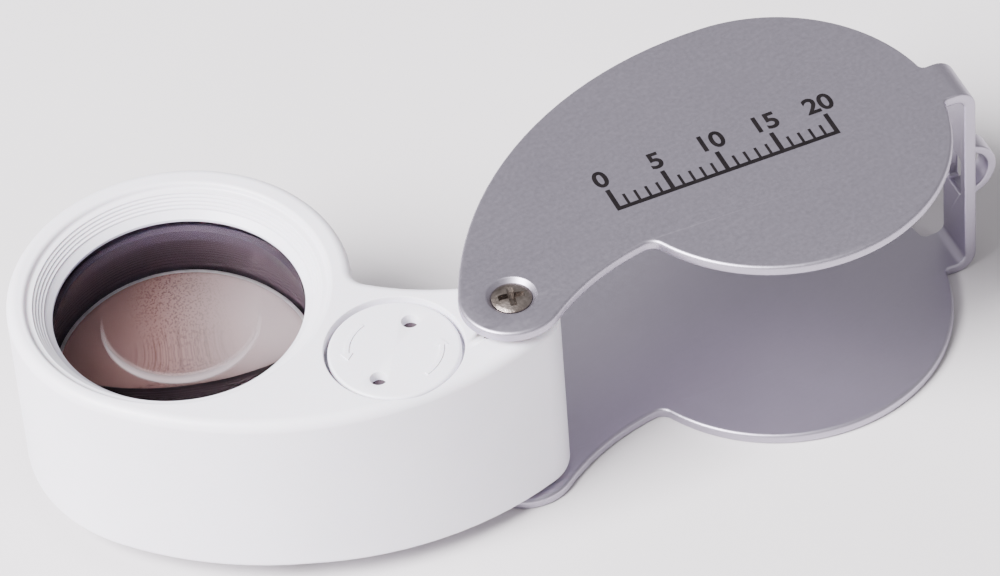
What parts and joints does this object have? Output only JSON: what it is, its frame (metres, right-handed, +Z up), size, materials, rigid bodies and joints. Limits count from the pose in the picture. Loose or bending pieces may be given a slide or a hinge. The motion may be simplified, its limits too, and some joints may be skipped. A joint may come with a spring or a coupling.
{
  "type": "folding hand lens",
  "caption": "Folding hand lens with a lit eyepiece: a sheet metal cover with two teardrop plates, and a white lens body that swings out of it on a pivot.",
  "frame": {"origin": "centre of the cover's round end, on its underside", "axes": "+X from the pivot towards the cover's round end, +Z up from the lower cover plate to the top one, along the pivot axis"},
  "size_m": [0.081, 0.0495, 0.0212],
  "materials": {
    "cover_aluminium": "satin rolled sheet, fine grain, bright burnished edges",
    "brass": "turned brass",
    "white_plastic": "white moulded plastic, soft sheen",
    "screw_steel": "nickel plated steel screw",
    "nylon": "natural nylon",
    "black_plastic": "black moulded plastic with a faint brown tint",
    "lens_glass": "clear polished glass",
    "nickel": "nickel plate",
    "clear_epoxy": "water-clear moulded epoxy",
    "board_green": "green lacquered circuit board",
    "wire_black": "black insulated wire",
    "wire_red": "red insulated wire"
  },
  "bodies": {
    "cover": {"folding_cover": "cover_aluminium", "contact_washer": "brass"},
    "lens_body": {"body_shell": "white_plastic", "base_plate": "white_plastic", "base_screw_head": "screw_steel", "base_screw_tail": "screw_steel", "pivot_screw_top": "screw_steel", "pivot_screw_bottom": "screw_steel", "pivot_insert_top": "brass", "pivot_insert_bottom": "brass", "friction_washer": "nylon", "lens_barrel": "black_plastic", "eye_lens": "lens_glass", "lens_spacer": "black_plastic", "field_lens": "lens_glass", "lens_retaining_ring": "black_plastic", "coin_cell_1": "nickel", "coin_cell_2": "nickel", "coin_cell_3": "nickel", "battery_spring": "nickel", "battery_side_contact": "brass", "led_waist_side": "clear_epoxy", "led_back_side": "clear_epoxy", "led_board": "board_green", "switch_leaf": "brass", "switch_wire": "wire_black", "battery_wire": "wire_red"},
    "turning_cap": {"battery_cap": "white_plastic", "cap_contact": "brass"}
  },
  "joints": [
    {"name": "body_swing", "type": "hinge", "parent": "cover", "child": "lens_body", "pos_m": [-0.0276, 0, 0.0106], "axis": [0, 0, 1], "range_deg": [-133.6, 226.4]},
    {"name": "battery_cap_turn", "type": "hinge", "parent": "lens_body", "child": "turning_cap", "pos_m": [-0.0375, 0.003, 0.0188], "axis": [0, 0, 1], "range_deg": [0, 90]}
  ]
}
